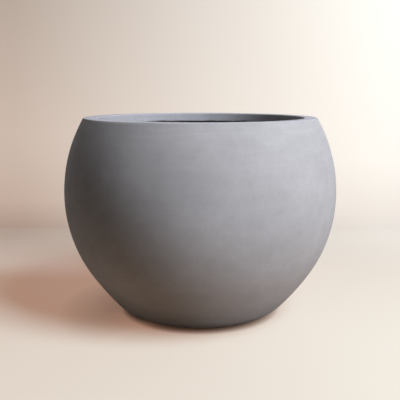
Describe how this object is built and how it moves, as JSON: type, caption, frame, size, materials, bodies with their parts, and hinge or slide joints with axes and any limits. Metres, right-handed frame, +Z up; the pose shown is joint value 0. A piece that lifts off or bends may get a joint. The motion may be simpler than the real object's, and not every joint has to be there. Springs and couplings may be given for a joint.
{
  "type": "planter",
  "caption": "Round bowl floor planter in stone-look cast cement with a turned-in lip, a drain hole with a pull-up rubber stopper and rubber foot pads.",
  "frame": {"origin": "on the floor under the middle of the bowl, level with the underside of the foot pads", "axes": "+Z up along the axis of the bowl; the bowl is round, so +X and +Y are free and -Y is the side the picture shows"},
  "size_m": [0.6099, 0.61, 0.4415],
  "materials": {
    "cast_cement": "matt, smooth cast, faintly mottled",
    "plug_rubber": "matt",
    "pad_rubber": "matt"
  },
  "bodies": {
    "planter": {"planter_shell": "cast_cement", "foot_pad_1": "pad_rubber", "foot_pad_2": "pad_rubber", "foot_pad_3": "pad_rubber", "foot_pad_4": "pad_rubber"},
    "plug": {"drain_plug": "plug_rubber"}
  },
  "joints": [
    {"name": "plug_pull", "type": "slide", "parent": "planter", "child": "plug", "axis": [0, 0, 1], "range_m": [0, 0.46]}
  ]
}
